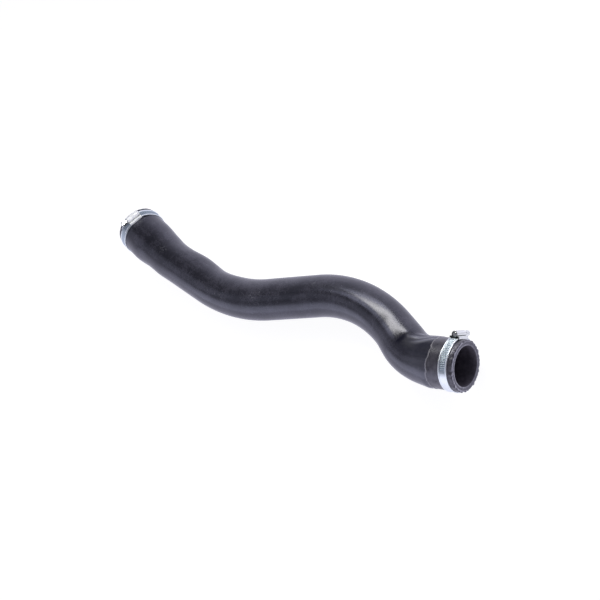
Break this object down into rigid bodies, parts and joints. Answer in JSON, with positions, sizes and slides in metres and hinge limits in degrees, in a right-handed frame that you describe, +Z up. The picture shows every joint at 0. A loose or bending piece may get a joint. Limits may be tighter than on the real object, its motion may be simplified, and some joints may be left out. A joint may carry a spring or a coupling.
{
  "type": "turbo hose",
  "caption": "Formed rubber turbo hose with swollen end cuffs, held by worm-drive clamps, for joining charge air pipes.",
  "frame": {"origin": "middle of the floor under the part, as it comes to rest on both clamps and its rear bend", "axes": "+X out of the front mouth, +Z up, the hose lying along X"},
  "size_m": [0.6134, 0.1962, 0.0795],
  "materials": {
    "hose_rubber": "satin, with a fabric wrap print",
    "clamp_plate": "bright zinc plate",
    "screw_plate": "bright zinc plate"
  },
  "bodies": {
    "hose": {"hose_body": "hose_rubber", "front_clamp_band": "clamp_plate", "front_clamp_housing": "clamp_plate", "rear_clamp_band": "clamp_plate", "rear_clamp_housing": "clamp_plate"},
    "front_screw": {"front_clamp_screw": "screw_plate"},
    "rear_screw": {"rear_clamp_screw": "screw_plate"}
  },
  "joints": [
    {"name": "front_screw_turn", "type": "hinge", "parent": "hose", "child": "front_screw", "pos_m": [0.29388, -0.02824, 0.04459], "axis": [0, 0.2924, -0.9563], "continuous": true},
    {"name": "rear_screw_turn", "type": "hinge", "parent": "hose", "child": "rear_screw", "pos_m": [-0.27252, 0.07653, 0.06872], "axis": [-0.4622, -0.8038, 0.3746], "continuous": true}
  ]
}
